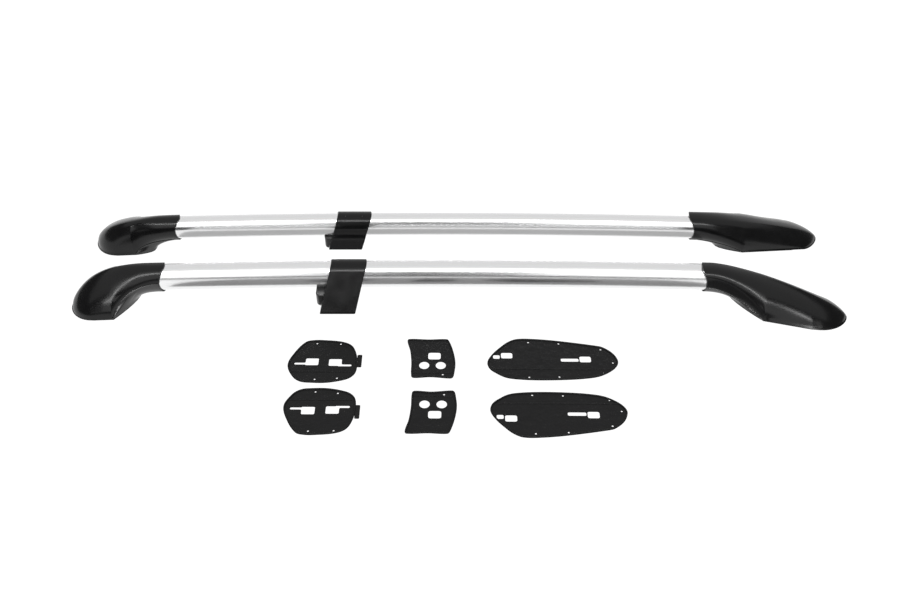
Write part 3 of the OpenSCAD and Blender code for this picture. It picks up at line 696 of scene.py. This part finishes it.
def card(name, size_x, size_y, centre, turn_x, strength, seen=False):
    """Flat glowing sheet of the studio. Only a seen one shows to the camera; the others light and reflect."""
    x, y = size_x / 2, size_y / 2
    mesh = bpy.data.meshes.new(name)
    mesh.from_pydata([(-x, -y, 0), (x, -y, 0), (x, y, 0), (-x, y, 0)], [], [(0, 1, 2, 3)])
    obj = bpy.data.objects.new(name, mesh)
    bpy.context.scene.collection.objects.link(obj)
    obj.matrix_world = Matrix.Translation(centre) @ Matrix.Rotation(math.radians(turn_x), 4, "X")
    mat = bpy.data.materials.new(name)
    mat.use_nodes = True
    nodes, links = mat.node_tree.nodes, mat.node_tree.links
    shader = nodes["Principled BSDF"]
    shader.inputs["Base Color"].default_value = (0.02, 0.02, 0.02, 1)
    shader.inputs["Roughness"].default_value = 0.9
    shader.inputs["Emission Color"].default_value = (1, 1, 1, 1)
    shader.inputs["Emission Strength"].default_value = strength
    grain = noise(nodes, links, coordinates(nodes, links), 400, 2)
    bump(nodes, links, shader, grain, CARD_GRAIN)
    mesh.materials.append(mat)
    obj.visible_camera = seen
    obj.visible_shadow = False
    if seen:
        obj.visible_glossy = obj.visible_diffuse = False
    return obj


def front_card(name, x, width, low, high, strength, far_off):
    """Card on the camera's side, seen from the rails between two elevations in degrees."""
    middle = math.radians((low + high) / 2)
    tall = 2 * far_off * math.tan(math.radians((high - low) / 2))
    centre = (x, -far_off * math.cos(middle), far_off * math.sin(middle) + CARD_LIFT)
    return card(name, width, tall, centre, -90 - math.degrees(middle), strength)


def studio():
    scene = bpy.context.scene
    scene.view_settings.view_transform = "Standard"
    world = bpy.data.worlds.new("studio")
    world.use_nodes = True
    back = world.node_tree.nodes["Background"]
    back.inputs["Color"].default_value = (1, 1, 1, 1)
    back.inputs["Strength"].default_value = 0.1
    scene.world = world
    card("floor", 60, 60, (0, 0, 0), 0, 1.05, seen=True)
    card("floor_glow", 60, 60, (0, 0, -0.001), 0, 1.0)
    card("front_shade", 1.1, 0.8, (-0.03, -0.4, 0.001), 0, 0.2)
    card("between_shade", 1.1, 0.115, (-0.04, 0.133, 0.001), 0, 0.42)
    card("sky_sheet", 8.0, 5.3, (0, 1.45, 2.5), 180, 0.74)
    card("back_sheet", 8.0, 2.5, (0, 4.1, 1.25), 90, 0.8)
    front_card("front_strip", 0.0, 5.2, 45.0, 50.5, 15.0, STRIP_FAR)
    front_card("front_middle", -0.2, 1.3, 42.0, 66.0, 1.3, GLOW_FAR)
    for name, side, start in (("side_glow_1", -1, 0.85), ("side_glow_2", 1, 0.45)):
        wide = GLOW_END - start
        front_card(name, side * (start + wide / 2), wide, 12.0, 66.0, 1.5, GLOW_FAR)


# The camera and the studio come first, then the pieces
place_camera()
studio()


def make_feet():
    for foot in (SHORT, LONG):
        outer, inner = cover_grids(foot)
        rows, cols = outer.shape[:2]
        outer = foot_to_rail(foot, outer.reshape(-1, 3)).reshape(rows, cols, 3)
        inner = foot_to_rail(foot, inner.reshape(-1, 3)).reshape(rows, cols, 3)
        cover_points, cover_faces = shell(outer, inner)
        points, panel_faces = panel_solid(foot)
        panel_points = foot_to_rail(foot, points)
        for rail, far in RAILS:
            name = f"{rail}_{foot.name}_foot"
            cover = new_object(name + "_skin", rail_to_world(cover_points, far), cover_faces)
            bevel(cover, COVER_EDGE_R, 3, 55)
            tidy_mesh(cover, 40)
            dress(cover, COVER, "cover_plastic", name + "_cover")
            panel = new_object(name + "_belly", rail_to_world(panel_points, far), panel_faces)
            bevel(panel, PANEL_EDGE_R, 2, 55)
            tidy_mesh(panel, 40)
            dress(panel, PANEL, "cover_plastic", name + "_panel")


def make_tubes():
    points, faces = tube_solid()
    for rail, far in RAILS:
        tube = new_object(f"{rail}_oval_tube", rail_to_world(points, far), faces)
        dress(tube, TUBE, "anodised_tube", f"{rail}_tube")


def make_middle_feet():
    for rail, far in RAILS:
        name = f"{rail}_middle_foot"
        points, faces = prism(mid_outline(MID_SADDLE), mid_ends)
        cover = new_object(name + "_saddle", rail_to_world(points, far), faces)
        bevel(cover, MID_EDGE_R, 5, 30)
        tools = []
        points, faces = oval_rod(MID_X, 260, TUBE_GAP)
        tools.append(new_object("bore", rail_to_world(points, far), faces))
        axis = tube_z(MID_X)
        narrow_in, wide_in = -MID_NARROW + MID_WALL, MID_WIDE - MID_WIDE_WALL
        hollow = [(narrow_in, 0.0), (wide_in, 0.0), (wide_in, MID_BASE_Z + RIM_Z - 1)]
        hollow += [tuple(array([0.0, axis]) + oval(20 + 8 * i, -1.0)) for i in range(19)]
        hollow += [(narrow_in, axis - (MID_NARROW_DROP + 1))]
        points, faces = prism(hollow, lambda z: mid_ends(z, MID_WALL))
        tools.append(new_object("hollow", rail_to_world(points, far), faces))
        for off in (-DIMPLE_OFF, DIMPLE_OFF):
            p = array([0.0, axis]) + oval(DIMPLE_ANGLE, MID_SADDLE + DIMPLE_OUT)
            spot = rail_to_world([(MID_X + off, p[0], p[1])], far)[0]
            bpy.ops.mesh.primitive_uv_sphere_add(
                segments=32, ring_count=16, radius=DIMPLE_R * MM, location=spot)
            dimple = bpy.context.object
            dimple.data.transform(dimple.matrix_world)
            dimple.matrix_world = Matrix.Identity(4)
            tools.append(dimple)
        cut(cover, tools)
        tidy_mesh(cover, 32)
        weigh_normals(cover)
        dress(cover, COVER, "cover_plastic", name + "_cover")
        make_middle_panel(name, far)


def rounded_outline(low, high, r, n=10):
    """Closed run of points round a rectangle with rounded corners."""
    run = []
    for cx, cy, start in (
        (high[0] - r, low[1] + r, -90), (high[0] - r, high[1] - r, 0),
        (low[0] + r, high[1] - r, 90), (low[0] + r, low[1] + r, 180),
    ):
        for i in range(n + 1):
            a = math.radians(start + 90 * i / n)
            run.append((cx + r * math.cos(a), cy + r * math.sin(a)))
    return run


def make_middle_panel(name, far):
    from_x = MID_X - MID_L / 2 - MID_RAKE - MID_PANEL_OUT
    run = rounded_outline((from_x, MID_PANEL_S[0]), (from_x + MID_PANEL_L, MID_PANEL_S[1]), MID_PANEL_R)
    points = [(x, s, MID_BASE_Z) for x, s in run] + [(x, s, MID_BASE_Z + MID_PANEL_H) for x, s in run]
    panel = new_object(name + "_end", rail_to_world(points, far), drum_faces(len(run)))
    bevel(panel, MID_PANEL_EDGE_R, 4, 50)
    points, faces = prism(
        [(-200, -20), (200, -20), (200, 150), (-200, 150)],
        lambda z: (mid_ends(z)[0] - MID_PANEL_GAP, mid_ends(z)[0] + 300),
    )
    behind = new_object("behind", rail_to_world(points, far), faces)
    points, faces = oval_rod(MID_X - 60, 200, TUBE_GAP)
    bore = new_object("bore", rail_to_world(points, far), faces)
    cut(panel, [behind, bore])
    tidy_mesh(panel, 32)
    weigh_normals(panel)
    dress(panel, PANEL, "cover_plastic", name + "_panel")


# Gaskets: outlines run clockwise, as the CAD source has them
SHORT_OUTLINE = [
    (0, 64), (12, 92), (27, 104), (48, 107), (75, 107), (101, 102), (118, 95), (128, 82),
    (130, 60), (127, 36), (117, 14), (98, 4), (64, 0), (44, 0), (28, 5), (10, 32),
]
MIDDLE_OUTLINE = [
    (2, 0), (-1, 5), (5, 30), (8, 60), (9, 94), (14, 98), (45, 96), (80, 99),
    (86, 97), (89, 86), (91, 60), (87, 32), (79, 5), (74, 0), (40, 1),
]
LONG_OUTLINE = [
    (0, 60), (4, 76), (17, 88), (34, 98), (55, 102), (92, 104), (140, 103), (178, 100),
    (208, 94), (232, 80), (244, 66), (246, 54), (238, 36), (221, 21), (209, 17), (138, 5),
    (92, 0), (58, 0), (40, 8), (24, 23), (9, 41),
]


# The short gasket's two stepped holes: a wide slot joined to a narrow one
SHORT_HOLE_1 = ([(12, 57), (33, 57), (33, 46), (57, 46), (57, 64), (33, 64), (33, 62.5), (12, 62.5)], 3)
SHORT_HOLE_2 = ([(76.5, 47.5), (100.5, 47.5), (100.5, 61), (119.5, 61), (119.5, 66.5), (94, 66.5),
                 (94, 65.5), (76.5, 65.5)], 3)


def box_run(x0, y0, x1, y1):
    return [(x0, y0), (x1, y0), (x1, y1), (x0, y1)]


def rounded_run(corners, r):
    """Closed run of points round a polygon whose corners are rounded by about r."""
    n = 4
    pts = [array(c, float) for c in corners]
    run = []
    for i, c in enumerate(pts):
        ends = []
        for other in (pts[i - 1], pts[(i + 1) % len(pts)]):
            far_off = np.linalg.norm(other - c)
            ends.append(c + (other - c) / far_off * min(r, far_off / 2))
        for k in range(n + 1):
            t = k / n
            run.append(ends[0] * (1 - t) ** 2 + c * 2 * t * (1 - t) + ends[1] * t * t)
    return run


def curve_through(pts, steps):
    pts = [array(p, float) for p in pts]
    n, run = len(pts), []
    for i in range(n):
        a, b, c, d = pts[i - 1], pts[i], pts[(i + 1) % n], pts[(i + 2) % n]
        hold = np.linalg.norm(c - b) / 3
        bh = b + hold * (c - a) / np.linalg.norm(c - a)
        ch = c - hold * (d - b) / np.linalg.norm(d - b)
        run += [bezier(b, bh, ch, c, j / steps) for j in range(steps)]
    return run


def inset(pts, d):
    pts = [array(p, float) for p in pts]
    n, run = len(pts), []
    for i in range(n):
        way = pts[(i + 1) % n] - pts[i - 1]
        run.append(pts[i] + d * array([-way[1], way[0]]) / np.linalg.norm(way))
    return run


def ring(x, y, d, n=40):
    turns = [2 * math.pi * i / n for i in range(n)]
    return [(x + d / 2 * math.cos(a), y + d / 2 * math.sin(a)) for a in turns]


def flat_solid(name, loops, low, high, round_by):
    """Plate between two heights from an outer loop and hole loops, with rounded edges."""
    curve = bpy.data.curves.new(name, "CURVE")
    curve.dimensions = "2D"
    curve.fill_mode = "BOTH"
    curve.extrude = (high - low) / 2 * MM - round_by * MM
    curve.bevel_depth = round_by * MM
    curve.bevel_resolution = 3
    curve.offset = -round_by * MM
    for loop in loops:
        line = curve.splines.new("POLY")
        line.points.add(len(loop) - 1)
        for point, (x, y) in zip(line.points, loop):
            point.co = (x * MM, y * MM, 0, 1)
        line.use_cyclic_u = True
    obj = bpy.data.objects.new(name, curve)
    bpy.context.scene.collection.objects.link(obj)
    bpy.context.view_layer.update()
    depsgraph = bpy.context.evaluated_depsgraph_get()
    mesh = bpy.data.meshes.new_from_object(obj.evaluated_get(depsgraph))
    bpy.data.objects.remove(obj)
    mesh.transform(Matrix.Translation((0, 0, (low + high) / 2 * MM)))
    return mesh


def make_gaskets():
    # Name, outline, ridge's y and the x where it starts and ends, peg holes, slots with corner radius
    kinds = (
        ("short", SHORT_OUTLINE, (80, 8, 122), [(50, 8), (95, 9), (54, 99), (95, 96)],
         [SHORT_HOLE_1, SHORT_HOLE_2]),
        ("middle", MIDDLE_OUTLINE, (86, 12, 84), [(67.5, 90)], [(box_run(39.5, 34, 63, 52), 5)]),
        ("long", LONG_OUTLINE, (77, 12, 232),
         [(77, 97), (133, 96), (217, 86), (79, 8), (137, 11), (216, 26), (236, 60)],
         [(box_run(11, 41, 23.5, 51), 3), (box_run(26, 35, 47.5, 50), 4),
          (box_run(138.5, 49, 172, 57.5), 3), (box_run(174, 43.5, 195.5, 59), 4)]),
    )
    for k, (name, outline, ridge, pegs, slots) in enumerate(kinds):
        edge_run = curve_through(outline, 8)
        inner_run = curve_through(inset(outline, -LIP_W), 8)
        holes = [rounded_run(corners, r) for corners, r in slots]
        holes += [ring(x, y, PEG_HOLE_D, 24) for x, y in pegs]
        if name == "middle":
            holes += [ring(x, 67, HOLE_D) for x in (32.5, 63.5)]
        y, start, stop = ridge
        ridge_run = rounded_outline((start, y - RIDGE_W / 2), (stop, y + RIDGE_W / 2), 0.8, 4)
        parts = [
            flat_solid("web", [edge_run] + holes, 0, GASKET_T, WEB_EDGE_R),
            flat_solid("lip", [edge_run, inner_run], 0, LIP_H, LIP_EDGE_R),
            flat_solid("ridge", [ridge_run], 0.2, GASKET_T + RIDGE_H, RIDGE_EDGE_R),
        ]
        if name == "short":
            tab_run = rounded_outline((129, 37), (138, 68), 2)
            parts.append(flat_solid("tab", [tab_run], 0, GASKET_T, WEB_EDGE_R))
        bm = bmesh.new()
        for mesh in parts:
            bm.from_mesh(mesh)
            bpy.data.meshes.remove(mesh)
        both = bpy.data.meshes.new(name)
        bm.to_mesh(both)
        bm.free()
        for rail, far in RAILS:
            mesh = both.copy()
            x, y = NEAR_ROW_X[k], NEAR_Y - ROW_GAP - ROW_PITCH + NEAR_ROW_IN[k]
            if far:
                x, y = FAR_ROW_X[k], NEAR_Y - ROW_GAP - FAR_ROW_IN[k]
            shift = Matrix.Translation((x * MM, y * MM, 0))
            if far:
                shift = shift @ Matrix.Scale(-1, 4, (0, 1, 0))
            mesh.transform(shift)
            obj = bpy.data.objects.new(f"{rail}_{name}_seal", mesh)
            bpy.context.scene.collection.objects.link(obj)
            tidy_mesh(obj, 50)
            dress(obj, RUBBER, "gasket_rubber", f"{rail}_{name}_gasket")


make_tubes()
make_feet()
make_middle_feet()
make_gaskets()

# The CAD nodes that stay visible get the materials of the inner parts
for node_name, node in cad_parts.items():
    if node.hide_render:
        continue
    if node_name.endswith("_inserts"):
        finish = BRASS
    elif node_name.endswith("_screws"):
        finish = STEEL
    else:
        finish = CORE
    node.data.materials.clear()
    node.data.materials.append(finish)

bpy.context.view_layer.update()
